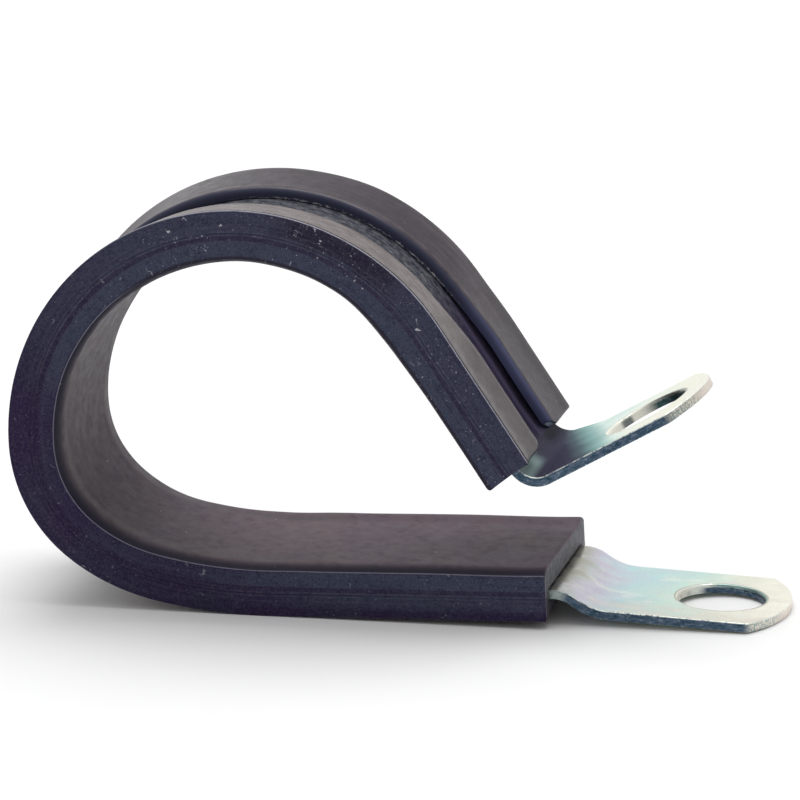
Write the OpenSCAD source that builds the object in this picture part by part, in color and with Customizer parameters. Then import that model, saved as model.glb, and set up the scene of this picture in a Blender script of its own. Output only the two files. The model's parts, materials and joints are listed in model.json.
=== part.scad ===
// Rubber-lined P clip: one folded steel band with a tab at each end, and one
// extruded rubber channel that is slipped over the band round its loop.
//
// Frame: the origin is the centre of the lower tab's hole, on the face that
// seats on a panel (z = 0). +Z points away from the panel, the loop lies towards
// -X, and the axis of the pipe that the clip holds runs along Y.

/* [Band] */
// Width of the steel band
band_w = 12; // [9:0.5:16]
// Thickness of the steel band
band_t = 0.7; // [0.5:0.1:1.2]
// Diameter of the fixing hole in each tab
hole_d = 6.5; // [4:0.1:7]
// Steel left between each hole and the tip of its tab
tip_wall = 1.95; // [1:0.05:4]
// Radius of the arc that ends each tab
tab_tip_r = 9.2; // [8:0.1:12]

/* [Lower tab] */
// From the centre of the hole to the first bend
lower_hole_to_bend = 7.4; // [6:0.1:15]
// Radius of the bend that lifts the band off the panel
lift_r = 4.5; // [2:0.1:6]
// Angle of that bend
lift_a = 31; // [20:1:35]
// Straight slope between the two bends of the step
step_flat = 0.5; // [0.2:0.1:2]
// Radius of the bend that turns the band back down
return_r = 2.5; // [2:0.1:5]
// Angle of that bend: its excess over the first tips the lower leg down
return_a = 35; // [30:1:38]
// Bare straight band between the step and the liner
bare_lead = 0.3; // [0.1:0.1:3]

/* [Loop] */
// Straight length of the lower leg
lower_leg = 20.8; // [15:0.1:30]
// Radius of the gentle bend that follows the lower leg
sole_r = 37; // [30:0.5:45]
// Angle of that bend
sole_a = 13.5; // [10:0.5:18]
// Radius of the heel
heel_r = 14.5; // [11:0.1:20]
// Angle of the heel
heel_a = 24; // [18:1:30]
// Radius of the back of the loop
back_r = 9.6; // [8:0.1:15]
// Angle of the back
back_a = 53; // [45:1:58]
// Radius of the crown
crown_r = 16.3; // [14:0.1:20]
// Angle of the crown
crown_a = 148; // [140:1:150]
// Straight length of the upper leg
upper_leg = 12; // [8:0.1:15]

/* [Upper tab] */
// Radius of the bend between the upper leg and its tab
upper_bend_r = 1.9; // [1.5:0.1:4]
// Angle of that bend
upper_bend_a = 86; // [75:1:95]
// From the centre of the hole to that bend
upper_hole_to_bend = 7.3; // [6:0.1:15]

/* [Liner] */
// Rubber between the pipe and the band
inner_t = 1.8; // [1.2:0.1:3]
// Rubber beside each edge of the band
side_wall = 1.45; // [0.8:0.05:2.5]
// Rubber of each lip over the outside of the band
lip_t = 1.3; // [0.8:0.1:2.5]
// Width of each lip, from the side of the liner to its free edge
lip_w = 5; // [3:0.1:5.4]
// How much each lip thins towards its free edge
lip_taper = 0.35; // [0:0.05:0.6]
// Width of the bevel along each inner corner
bevel_w = 0.8; // [0.2:0.1:1.4]
// Depth of that bevel
bevel_h = 0.4; // [0.1:0.1:1]
// Radius of the outer corners of the lips
lip_corner_r = 0.35; // [0.1:0.05:0.6]
// Clearance all round the band in its slot
slot_gap = 0.05; // [0.02:0.01:0.2]

/* [Hidden] */
$fn = 96;

// Largest turn between neighbouring facets of a bend, in degrees
facet_a = 3;
// Extra band drawn past each tab's tip, for the tip's arc to cut away
tip_spare = 1;

zinc = [0.80, 0.83, 0.82];
black_rubber = [0.17, 0.16, 0.20];

hole_to_tip = hole_d / 2 + tip_wall;
tip_r = max(tab_tip_r, band_w / 2);
slot_w = band_w + 2 * slot_gap;
slot_h = band_t + 2 * slot_gap;
liner_w = slot_w + 2 * side_wall;

// ---- Routes ------------------------------------------------------------
// A route follows the middle of the band's thickness in the X-Z plane. Each
// step is [length, 0] for a straight, or [radius, angle] for a bend, where a
// positive angle turns towards the inside of the loop.

lower_tab_route = [
    [hole_to_tip + tip_spare + lower_hole_to_bend, 0],
    [lift_r, lift_a],
    [step_flat, 0],
    [return_r, -return_a],
    [bare_lead, 0],
];
loop_route = [
    [lower_leg, 0],
    [sole_r, sole_a],
    [heel_r, heel_a],
    [back_r, back_a],
    [crown_r, crown_a],
    [upper_leg, 0],
];
upper_bend_route = [
    [upper_bend_r, -upper_bend_a],
];
upper_tab_route = [
    [upper_hole_to_bend, 0],
    [hole_to_tip + tip_spare, 0],
];

// A pose is [x, z, heading]: a place on a route, and the direction of travel
// there, in degrees from +X towards +Z.

function inward(heading) = [sin(heading), -cos(heading)];

// The point at a height above the route, counted towards the inside.
function point_at(pose, height) =
    [pose[0], pose[1]] + height * inward(pose[2]);

function straight_end(pose, length) = [
    pose[0] + length * cos(pose[2]),
    pose[1] + length * sin(pose[2]),
    pose[2],
];

function turned(pose, radius, angle) =
    let (
        centre = point_at(pose, sign(angle) * radius),
        heading = pose[2] - angle,
        place = centre - sign(angle) * radius * inward(heading)
    )
    [place[0], place[1], heading];

function step_poses(pose, step) =
    step[1] == 0
    ? [straight_end(pose, step[0])]
    : let (facets = ceil(abs(step[1]) / facet_a))
        [for (i = [1:facets]) turned(pose, step[0], step[1] * i / facets)];

// Every pose along a route that starts at the given one.
function follow(start, route, i = 0) =
    i == len(route)
    ? [start]
    : let (poses = step_poses(start, route[i]))
        concat(
            [start],
            [for (k = [0:1:len(poses) - 2]) poses[k]],
            follow(last(poses), route, i + 1)
        );

function last(list) = list[len(list) - 1];

lower_tip = [hole_to_tip + tip_spare, band_t / 2, 180];
lower_tab = follow(lower_tip, lower_tab_route);
loop = follow(last(lower_tab), loop_route);
upper_bend = follow(last(loop), upper_bend_route);
upper_tab = follow(last(upper_bend), upper_tab_route);
upper_hole = upper_tab[1];

// ---- Band --------------------------------------------------------------

module side_outline(poses, thickness) {
    polygon(concat(
        [for (p = poses) point_at(p, thickness / 2)],
        [for (i = [len(poses) - 1:-1:0]) point_at(poses[i], -thickness / 2)]
    ));
}

// What is cut from a tab whose hole is at the origin and tip towards +X.
module tab_cuts() {
    depth = 3 * band_t;
    tip_centre = hole_to_tip - tip_r;
    translate([0, 0, -depth / 2])
        cylinder(h = depth, d = hole_d);
    translate([0, 0, -depth / 2])
        linear_extrude(depth)
            difference() {
                translate([tip_centre, -band_w])
                    square([tip_r + 2 * tip_spare, 2 * band_w]);
                translate([tip_centre, 0])
                    circle(tip_r);
            }
}

module band() {
    route = concat(
        lower_tab,
        [for (i = [1:len(loop) - 1]) loop[i]],
        [for (i = [1:len(upper_bend) - 1]) upper_bend[i]],
        [last(upper_tab)]
    );
    color(zinc)
        difference() {
            rotate([90, 0, 0])
                linear_extrude(band_w, center = true)
                    side_outline(route, band_t);
            translate([0, 0, band_t / 2])
                tab_cuts();
            translate([upper_hole[0], 0, upper_hole[1]])
                rotate([0, -upper_hole[2], 0])
                    tab_cuts();
        }
}

// ---- Liner -------------------------------------------------------------

function arc_points(centre, r, from, to, steps) =
    [for (i = [0:steps])
        let (a = from + (to - from) * i / steps)
        centre + r * [cos(a), sin(a)]];

function mirrored(points) =
    [for (i = [len(points) - 1:-1:0]) [-points[i][0], points[i][1]]];

// The liner's section as [across, inward] points: a channel whose slot holds
// the band, open between its two lips.
function liner_section() =
    let (
        half_w = liner_w / 2,
        inside = slot_h / 2 + inner_t,
        outside = -slot_h / 2 - lip_t,
        corner = [half_w - lip_corner_r, outside + lip_corner_r],
        right_half = concat(
            [[half_w - bevel_w, inside], [half_w, inside - bevel_h]],
            arc_points(corner, lip_corner_r, 0, -90, 3),
            [
                [half_w - lip_w, outside + lip_taper],
                [half_w - lip_w, -slot_h / 2],
                [slot_w / 2, -slot_h / 2],
                [slot_w / 2, slot_h / 2],
            ]
        )
    )
    concat(right_half, mirrored(right_half));

// Sweeps a closed section along the poses of a route.
module swept(section, poses) {
    n = len(section);
    rings = len(poses);
    points = [
        for (p = poses)
            for (s = section)
                let (place = point_at(p, s[1]))
                [place[0], s[0], place[1]]
    ];
    sides = [
        for (r = [0:rings - 2])
            for (k = [0:n - 1])
                let (next = (k + 1) % n)
                [r * n + k, r * n + next, (r + 1) * n + next, (r + 1) * n + k]
    ];
    first_cap = [for (k = [n - 1:-1:0]) k];
    last_cap = [for (k = [0:n - 1]) (rings - 1) * n + k];
    polyhedron(points, concat(sides, [first_cap, last_cap]));
}

module liner() {
    color(black_rubber)
        swept(liner_section(), loop);
}

band();
liner();
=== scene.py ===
"""Looks of a rubber-lined P clip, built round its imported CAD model.

The band and the liner are modelled again as fine meshes on the CAD model's own
route and sizes, because the CAD solids have plain sharp edges. Shapes are
worked out in millimetres and turned into metres as each mesh is made.
"""

import json
import math

import bmesh
import bpy
import numpy as np
from mathutils import Matrix, Vector


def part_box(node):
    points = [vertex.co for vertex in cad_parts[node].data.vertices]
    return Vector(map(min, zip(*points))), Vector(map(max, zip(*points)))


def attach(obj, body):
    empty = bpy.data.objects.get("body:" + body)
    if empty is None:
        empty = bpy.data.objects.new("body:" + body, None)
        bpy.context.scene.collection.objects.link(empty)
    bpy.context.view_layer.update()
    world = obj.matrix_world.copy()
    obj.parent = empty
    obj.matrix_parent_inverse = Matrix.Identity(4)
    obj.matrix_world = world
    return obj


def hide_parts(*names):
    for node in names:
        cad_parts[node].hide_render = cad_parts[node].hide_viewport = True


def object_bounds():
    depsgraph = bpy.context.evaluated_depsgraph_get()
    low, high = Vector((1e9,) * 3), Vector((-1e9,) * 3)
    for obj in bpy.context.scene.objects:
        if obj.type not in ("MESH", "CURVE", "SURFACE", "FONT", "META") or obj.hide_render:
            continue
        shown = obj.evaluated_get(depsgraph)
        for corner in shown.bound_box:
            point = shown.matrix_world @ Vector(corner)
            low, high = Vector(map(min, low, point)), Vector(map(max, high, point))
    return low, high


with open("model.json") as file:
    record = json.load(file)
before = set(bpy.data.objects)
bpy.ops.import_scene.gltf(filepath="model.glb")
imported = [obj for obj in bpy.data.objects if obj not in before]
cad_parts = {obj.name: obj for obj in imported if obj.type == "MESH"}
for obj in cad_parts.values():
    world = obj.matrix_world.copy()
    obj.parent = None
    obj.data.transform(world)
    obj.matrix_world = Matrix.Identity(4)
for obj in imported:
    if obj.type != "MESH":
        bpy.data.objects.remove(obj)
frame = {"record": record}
cad_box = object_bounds()

MM = 0.001

# ---- Sizes that the frame holds, in millimetres ---------------------------

MOUNTS = {mount["name"]: mount for mount in frame["record"]["mounts"]}
BAND_LOW, BAND_HIGH = (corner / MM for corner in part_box("band"))
LINER_LOW, LINER_HIGH = (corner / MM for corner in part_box("liner"))

BAND_W = BAND_HIGH.y - BAND_LOW.y
BAND_T = MOUNTS["lower_tab_hole"]["dims"]["length_mm"]
HOLE_R = MOUNTS["lower_tab_hole"]["dims"]["r_mm"]
LOWER_HOLE = Vector(MOUNTS["lower_tab_hole"]["pos_m"]) / MM
UPPER_HOLE = Vector(MOUNTS["upper_tab_hole"]["pos_m"]) / MM
HOLE_TO_TIP = BAND_HIGH.x - LOWER_HOLE.x
LINER_W = LINER_HIGH.y - LINER_LOW.y

# ---- The band's route ------------------------------------------------------
# The middle of the band's thickness in the X-Z plane, from the lower tab's tip
# to the upper tab's. Each step is (length, 0) for a straight or (radius, angle)
# for a bend, in millimetres and degrees. A positive angle turns inwards.

LOWER_TAB = [(HOLE_TO_TIP + 7.4, 0), (4.5, 31), (0.5, 0), (2.5, -35), (0.3, 0)]
LOOP = [(20.8, 0), (37, 13.5), (14.5, 24), (9.6, 53), (16.3, 148), (12, 0)]
UPPER_BEND = [(1.9, -86)]
UPPER_TAB = [(7.3 + HOLE_TO_TIP, 0)]


def step_length(step):
    size, angle = step
    return size * abs(math.radians(angle)) if angle else size


def total_length(steps):
    return sum(step_length(step) for step in steps)


STRAIGHT_BELOW = 1e-12
HARDLY_CURVED = 1e-9


class Route:
    """A path of straights and bends that can be placed at any distance along it."""

    def __init__(self, x, z, heading, steps):
        rows = []
        s = 0.0
        for size, angle in steps:
            curve = math.copysign(1 / size, angle) if angle else 0.0
            rows.append((s, x, z, heading, curve))
            length = step_length((size, angle))
            x, z, heading = self.carry(x, z, heading, curve, length)
            s += length
        self.rows = np.array(rows)
        self.length = s

    @staticmethod
    def carry(x, z, heading, curve, run):
        """Where a run of that length ends, on one straight or bend."""
        straight = np.abs(curve) < STRAIGHT_BELOW
        if np.all(straight):
            return x + run * np.cos(heading), z + run * np.sin(heading), heading
        safe = np.where(straight, HARDLY_CURVED, curve)
        end = heading - safe * run
        x = x + (np.sin(heading) - np.sin(end)) / safe
        z = z + (np.cos(end) - np.cos(heading)) / safe
        return x, z, end

    def at(self, s):
        """x, z and heading at each distance."""
        step = np.clip(np.searchsorted(self.rows[:, 0], s, "right") - 1, 0, None)
        start, x, z, heading, curve = np.moveaxis(self.rows[step], -1, 0)
        return self.carry(x, z, heading, curve, s - start)

    def place(self, s, across, inward):
        """Points that lie across the band and inward of its middle, at distances s."""
        x, z, heading = self.at(s)
        x = x + inward * np.sin(heading)
        z = z - inward * np.cos(heading)
        return np.stack(np.broadcast_arrays(x, across, z), axis=-1)


route = Route(
    HOLE_TO_TIP, BAND_T / 2, math.pi, LOWER_TAB + LOOP + UPPER_BEND + UPPER_TAB
)
LINER_START = total_length(LOWER_TAB)
LINER_END = LINER_START + total_length(LOOP)
LOWER_HOLE_S = HOLE_TO_TIP
UPPER_HOLE_S = route.length - HOLE_TO_TIP
TAB_REACH = LINER_START
BEND_REACH = 8.0
found_hole = Vector(route.place(UPPER_HOLE_S, 0, 0))
if (found_hole - UPPER_HOLE).length > 0.01:
    raise ValueError(f"the route passes {found_hole}, not the hole at {UPPER_HOLE}")

# ---- Small helpers ---------------------------------------------------------

random_draws = np.random.default_rng(7)


def waves(shortest, longest, count=9):
    """A smooth random function of one distance, about -1 to 1, in these wavelengths."""
    lengths = np.geomspace(shortest, longest, count)
    phases = random_draws.uniform(0, 2 * np.pi, count)
    sizes = np.sqrt(lengths / longest)

    def value(x):
        turns = 2 * np.pi * x[..., None] / lengths
        total = np.sin(turns + phases) * sizes
        return total.sum(-1) / (1.6 * np.sqrt((sizes**2).sum()))

    return value


def smooth_step(x, low, high):
    t = np.clip((x - low) / (high - low), 0, 1)
    return t * t * (3 - 2 * t)


def hump(x, middle, reach):
    """1 at the middle, falling smoothly to 0 at that reach on both sides."""
    t = np.clip(np.abs(x - middle) / reach, 0, 1)
    return 0.5 + 0.5 * np.cos(np.pi * t)


def add_object(name, data):
    thing = bpy.data.objects.new(name, data)
    bpy.context.scene.collection.objects.link(thing)
    return thing


def make_object(name, points, faces, zones, materials, strip):
    """A mesh object from points in millimetres. strip keeps where each point lies
    along, across and inward of the band, for the materials to read."""
    mesh = bpy.data.meshes.new(name)
    mesh.from_pydata((np.asarray(points) * MM).tolist(), [], faces)
    for material in materials:
        mesh.materials.append(material)
    mesh.polygons.foreach_set("material_index", zones)
    mesh.polygons.foreach_set("use_smooth", [True] * len(faces))
    attribute = mesh.attributes.new("strip", "FLOAT_VECTOR", "POINT")
    attribute.data.foreach_set("vector", np.asarray(strip, np.float32).ravel())
    mesh.update()
    return add_object(name, mesh)


# ---- Colours, as linear red, green and blue --------------------------------

PURPLE_BLACK = (0.015, 0.0065, 0.036)
BLUE_BLACK = (0.015, 0.014, 0.037)
PURPLE_DEEP = (0.009, 0.0035, 0.024)
BLUE_GREY = (0.047, 0.066, 0.1)
MOTTLE_LIGHT = (0.052, 0.05, 0.078)
PURPLE_GREY = (0.085, 0.076, 0.105)
PATCH_DARK = (0.008, 0.005, 0.012)
EDGE_WEAR_AND_HIGHLIGHT = (0.19, 0.19, 0.24)
CORNER_HIGHLIGHT = (0.4, 0.4, 0.47)
LINT = (0.56, 0.56, 0.59)
SIDE_LINT = ((1.3, 0.11, 0.16, 1.0), (0.6, 0.06, 0.3, 1.0), (2.8, 0.17, 0.16, 0.7))
FINE_LINT = ((0.8, 0.07, 0.2, 0.7), (2.2, 0.12, 0.05, 0.5))
FIBRE_W = 0.012
BORE_BROWN = (0.124, 0.085, 0.1)
BORE_MAUVE = (0.118, 0.082, 0.112)
BORE_DARK = (0.029, 0.019, 0.031)
BORE_LIGHT = (0.088, 0.076, 0.082)
BEVEL_SHADE = (0.016, 0.017, 0.032)
LIP_BROWN = (0.058, 0.036, 0.035)
LIP_TAUPE = (0.084, 0.057, 0.056)
LIP_DARK = (0.015, 0.01, 0.018)
LIP_MAUVE = (0.028, 0.019, 0.035)
LIP_LIGHT = (0.11, 0.085, 0.088)
LIP_PALE = (0.15, 0.125, 0.133)
GRIT_AND_GLINT = (0.66, 0.67, 0.69)
SEAM_SHADE = (0.012, 0.01, 0.013)
FREE_BLUE = (0.026, 0.031, 0.064)
FREE_LIGHT = (0.08, 0.09, 0.185)
CUT_DARK = (0.044, 0.043, 0.058)
CUT_PALE = (0.068, 0.066, 0.086)
CUT_EDGE_HIGHLIGHT = (0.2, 0.15, 0.19)
CUT_CORNER_HIGHLIGHT = (0.62, 0.64, 0.78)
ZINC_PALE = (0.88, 0.91, 0.8)
ZINC_LILAC = (0.66, 0.64, 0.74)
ZINC_GREY = (0.64, 0.69, 0.68)
ZINC_DULL = (0.4, 0.42, 0.42)
ZINC_DARK_BROWN = (0.4, 0.38, 0.31)
ZINC_ROSE = (0.74, 0.66, 0.58)
FILM_TINTS = [
    (0.0, (0.46, 0.45, 0.38)),
    (0.06, (0.56, 0.6, 0.6)),
    (0.13, (0.62, 0.59, 0.7)),
    (0.22, (0.6, 0.68, 0.75)),
    (0.31, (0.52, 0.74, 0.77)),
    (0.52, (0.62, 0.82, 0.74)),
    (0.74, (0.86, 0.88, 0.74)),
    (1.0, (0.98, 0.95, 0.83)),
]
UPPER_FILM_TINTS = [
    (0.0, (0.5, 0.72, 0.68)),
    (0.3, (0.62, 0.82, 0.76)),
    (0.48, (0.8, 0.9, 0.8)),
    (0.7, (0.9, 0.9, 0.76)),
    (1.0, (0.94, 0.92, 0.8)),
]
RING_BROWN = (0.33, 0.27, 0.2)
BEND_ROOT_HIGHLIGHT = (0.24, 0.33, 0.33)
BEND_SHADE_TINTS = [
    (0.0, (0.02, 0.016, 0.034)),
    (0.16, (0.034, 0.031, 0.056)),
    (0.5, (0.042, 0.042, 0.074)),
    (0.63, (0.07, 0.115, 0.135)),
    (0.78, (0.21, 0.39, 0.375)),
    (1.0, (0.56, 0.76, 0.7)),
]
CHANNEL_GREY = (0.12, 0.122, 0.138)
CHANNEL_SHADE = (0.024, 0.024, 0.038)
CHANNEL_DEEP_SHADE = (0.026, 0.019, 0.045)
CHANNEL_PAINTED_LIGHT = (0.2, 0.165, 0.29)
SHEAR_TINTS = [
    (0.3, (0.014, 0.029, 0.048)),
    (0.46, (0.042, 0.078, 0.114)),
    (0.58, (0.09, 0.118, 0.174)),
    (0.72, (0.18, 0.24, 0.27)),
]
TIP_CREAM = (0.78, 0.72, 0.62)
TIP_ROSE = (0.72, 0.63, 0.59)
TIP_TEAL = (0.2, 0.33, 0.32)
HOLE_GREY = (0.6, 0.57, 0.5)
HOLE_PALE = (0.88, 0.86, 0.76)
HOLE_GREEN = (0.024, 0.06, 0.046)
SHEAR_GLINT = (0.55, 0.65, 0.66)
RIM_HIGHLIGHT = (0.9, 0.94, 0.86)
RUBBED_GREY = (0.42, 0.48, 0.46)

# ---- Materials -------------------------------------------------------------
# Each surface is coloured by the attribute "strip", so that its marks follow the
# band: x runs along it, y across it and z through it, all in millimetres.


class Nodes:
    """A node tree that is built up from named steps."""

    def __init__(self, tree):
        self.tree = tree

    def node(self, kind, *inputs, **settings):
        """A new node, with its first inputs fed."""
        made = self.tree.nodes.new(kind)
        for key, value in settings.items():
            setattr(made, key, value)
        for socket, value in zip(made.inputs, inputs):
            self.feed(socket, value)
        return made

    def feed(self, socket, value):
        if isinstance(value, bpy.types.NodeSocket):
            self.tree.links.new(value, socket)
        else:
            socket.default_value = value

    def math(self, operation, a, b=0.0):
        return self.node("ShaderNodeMath", a, b, operation=operation).outputs[0]

    def plus(self, a, b):
        return self.math("ADD", a, b)

    def most(self, a, b):
        return self.math("MAXIMUM", a, b)

    def rest(self, share):
        """What a share leaves of 1."""
        return self.math("SUBTRACT", 1.0, share)

    def times(self, *values):
        total = values[0]
        for value in values[1:]:
            total = self.math("MULTIPLY", total, value)
        return total

    def step(self, value, low, high, start=0.0, end=1.0):
        """A smooth change from start to end as the value goes from low to high."""
        made = self.node(
            "ShaderNodeMapRange", value, low, high, start, end, interpolation_type="SMOOTHSTEP"
        )
        return made.outputs[0]

    def band(self, value, low, high, soft):
        """1 between low and high, falling to 0 over the soft distance outside them."""
        rise = self.step(value, low - soft, low)
        return self.times(rise, self.step(value, high, high + soft, 1.0, 0.0))


class Recipe(Nodes):
    """One material of the clip."""

    def __init__(self, name, roughness, metallic=0.0, specular=0.5):
        self.material = bpy.data.materials.new(name)
        self.material.use_nodes = True
        super().__init__(self.material.node_tree)
        self.shader = self.tree.nodes["Principled BSDF"]
        self.set("Roughness", roughness)
        self.set("Metallic", metallic)
        self.set("Specular IOR Level", specular)
        self.strip = self.node("ShaderNodeAttribute", attribute_name="strip").outputs["Vector"]
        self.s, self.u, self.v = self.node("ShaderNodeSeparateXYZ", self.strip).outputs
        self.colour = None

    def set(self, socket, value):
        self.feed(self.shader.inputs[socket], value)

    def vector_math(self, operation, *vectors):
        return self.node("ShaderNodeVectorMath", *vectors, operation=operation)

    def stretched(self, along, across, through):
        """The strip's coordinates, each multiplied by its own factor."""
        return self.vector_math("MULTIPLY", self.strip, (along, across, through)).outputs[0]

    def texture(self, kind, vector, scale, **settings):
        made = self.node("ShaderNodeTex" + kind, vector, **settings)
        self.feed(made.inputs["Scale"], scale)
        return made

    def noise(self, scale, detail=3.0, roughness=0.55, stretch=None):
        """A noise over the strip, or over the strip stretched by three factors."""
        vector = self.stretched(*stretch) if stretch else self.strip
        made = self.texture("Noise", vector, scale)
        self.feed(made.inputs["Detail"], detail)
        self.feed(made.inputs["Roughness"], roughness)
        return made.outputs["Fac"]

    def mix(self, share, a, b):
        made = self.node("ShaderNodeMix", share, data_type="RGBA")
        for socket, colour in ((made.inputs[6], a), (made.inputs[7], b)):
            if not isinstance(colour, bpy.types.NodeSocket):
                colour = (*colour, 1)
            self.feed(socket, colour)
        return made.outputs[2]

    def ramp(self, value, stops):
        made = self.node("ShaderNodeValToRGB", value)
        elements = made.color_ramp.elements
        while len(elements) < len(stops):
            elements.new(0.5)
        for element, (place, colour) in zip(elements, stops):
            element.position = place
            element.color = (*colour, 1)
        return made.outputs[0]

    def specks(self, scale, size, share, vector=None):
        """Small round specks: 1 in their middles, on that share of the cells."""
        cells = self.texture("Voronoi", vector or self.strip, scale)
        parts = self.node("ShaderNodeSeparateColor", cells.outputs["Color"])
        chosen = self.step(parts.outputs[0], 1 - share, 1 - share + 0.02)
        round_spot = self.step(cells.outputs["Distance"], size * 0.5, size, 1.0, 0.0)
        return self.times(chosen, round_spot, parts.outputs[1])

    def wobbled(self, vector, scale, reach):
        """The same coordinates, pushed about by a noise of that reach in millimetres."""
        push = self.texture("Noise", vector, scale).outputs["Color"]
        return self.vector_math("MULTIPLY_ADD", push, (reach, reach, reach), vector).outputs[0]

    def fibres(self, scale, share):
        """Fine curled hairs: short pieces of wobbling cell borders."""
        curled = self.wobbled(self.strip, 1.1, 1.6)
        cells = self.texture("Voronoi", curled, scale, feature="DISTANCE_TO_EDGE")
        line = self.step(cells.outputs["Distance"], FIBRE_W * 0.6, FIBRE_W * 1.6, 1.0, 0.0)
        patches = self.noise(1.7 * scale, 2.0)
        chosen = self.step(patches, 0.72 - 0.25 * share, 0.76 - 0.25 * share)
        return self.times(line, chosen)

    def from_hole(self, hole_s):
        """How far each point is from the middle of the hole at that distance."""
        flat = self.stretched(1, 1, 0)
        return self.vector_math("DISTANCE", flat, (hole_s, 0, 0)).outputs["Value"]

    def bump(self, height, depth_mm, strength=1.0):
        made = self.node("ShaderNodeBump")
        self.feed(made.inputs["Height"], height)
        self.feed(made.inputs["Distance"], depth_mm * MM)
        self.feed(made.inputs["Strength"], strength)
        self.set("Normal", made.outputs[0])

    def tint(self, colour, *shares):
        """Lays a colour over the surface, as strongly as the shares multiplied."""
        self.colour = self.mix(self.times(*shares), self.colour, colour)

    def lint(self, kinds, *shares, vector=None):
        """Specks of lint in kinds of (scale, size, share of cells, strength)."""
        for scale, size, share, strength in kinds:
            spots = self.specks(scale, size, share, vector)
            self.tint(LINT, spots, *shares, strength)

    def finish(self):
        self.set("Base Color", self.colour)
        return self.material


def rubber_side():
    """The liner's dark sides: mottled, streaked along the extrusion, with lint."""
    r = Recipe("rubber_side", 0.5, specular=0.22)
    r.set("Specular Tint", (0.8, 0.68, 1.0, 1))
    hue = r.noise(0.16, 2.0)
    mottle = r.noise(2.1, 5.0, 0.7)
    streaks = r.noise(1.0, 3.0, 0.6, stretch=(0.15, 1, 5))
    r.colour = r.mix(r.step(hue, 0.4, 0.6), PURPLE_BLACK, BLUE_BLACK)
    # Painted light on the inner half, above a strip of painted shade beside the crease.
    # The round back is plain and darker than the two legs.
    plain_back = r.band(r.s, 28, 46, 6)
    marked = r.rest(r.times(plain_back, 0.8))
    inner_half = r.times(r.band(r.v, 0.75, 1.55, 0.22), r.step(mottle, 0.3, 0.6, 0.6, 1.0))
    r.tint(BLUE_GREY, inner_half, marked, 0.7)
    upper_leg = r.step(r.s, 46, 64)
    r.tint(BLUE_GREY, upper_leg, 0.65)
    lower_leg = r.step(r.s, 26, 14)
    r.tint(BLUE_GREY, lower_leg, r.step(r.v, -1.3, -0.6), 0.6)
    # A dark, dusty patch beside the crown's outer edge.
    patch_edge = r.plus(r.v, r.times(r.plus(hue, -0.5), 1.6))
    patch = r.times(r.band(r.s, 75, 81, 3), r.step(patch_edge, 0.25, -0.25))
    r.tint(PATCH_DARK, patch, 0.85)
    # A strip of painted shade beside the crease.
    crease_shade = r.band(r.v, 0.28, 0.5, 0.15)
    r.tint(PURPLE_DEEP, crease_shade, 0.6)
    r.tint(MOTTLE_LIGHT, r.step(mottle, 0.5, 0.68), marked, 0.45)
    r.tint(PURPLE_DEEP, r.step(mottle, 0.5, 0.34), 0.35)
    r.tint(MOTTLE_LIGHT, r.step(streaks, 0.5, 0.7), 0.35)
    r.tint(PURPLE_DEEP, r.step(streaks, 0.45, 0.3), 0.45)
    grain = r.noise(7, 4.0, 0.7)
    r.tint(MOTTLE_LIGHT, r.step(grain, 0.48, 0.64), 0.5)
    r.tint(PURPLE_DEEP, r.step(grain, 0.52, 0.36), 0.6)
    # Faint doubled line of the crease.
    broken = r.step(r.noise(0.8, 3.0, 0.7, stretch=(1, 0, 0)), 0.35, 0.62)
    lines = ((0.17, 0.035, 0.5), (-0.09, 0.04, 0.4), (0.62, 0.03, 0.25), (-0.5, 0.03, 0.25))
    for level, width, share in lines:
        line = r.band(r.v, level - width, level + width, 0.05)
        r.tint(PURPLE_GREY, line, broken, marked, share)
    # Pale corners: the inner one worn, the crown's outer one with a painted highlight.
    broken_along = r.step(r.noise(1.3, 2.0, stretch=(1, 0, 0)), 0.25, 0.6, 0.55, 1.0)
    inner_edge = r.step(r.v, 1.74, 1.77)
    rubbed = r.step(r.s, 63, 57)
    r.tint(EDGE_WEAR_AND_HIGHLIGHT, inner_edge, broken_along, rubbed, 0.9)
    # A dark line of painted shade below the inner corner, where it is not worn.
    shaded = r.rest(rubbed)
    r.tint(SEAM_SHADE, r.step(r.v, 1.58, 1.68), shaded, 0.8)
    # A painted highlight along the crown's outer corner, broken up along the band.
    outer_edge = r.step(r.v, -1.6, -1.63)
    r.tint(CORNER_HIGHLIGHT, outer_edge, broken_along, r.step(r.s, 58, 68))
    # Lint and dust, thicker on the upper leg.
    dusty = r.step(r.s, 52, 70, 0.35, 1.0)
    ragged = r.wobbled(r.strip, 3.0, 0.25)
    r.lint(SIDE_LINT, dusty, vector=ragged)
    patchy = r.step(r.noise(0.35, 2.0), 0.42, 0.62)
    fine_dust = r.specks(6.5, 0.38, 0.22, ragged)
    r.tint(LINT, fine_dust, patchy, dusty, 0.55)
    for scale, share in ((0.55, 0.35), (0.9, 0.16)):
        fibres = r.fibres(scale, share)
        r.tint(LINT, fibres, dusty, 0.8)
    r.set("Roughness", r.step(mottle, 0.3, 0.7, 0.62, 0.4))
    r.bump(r.plus(grain, r.times(streaks, 1.4)), 0.02, 0.6)
    return r.finish()


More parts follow.
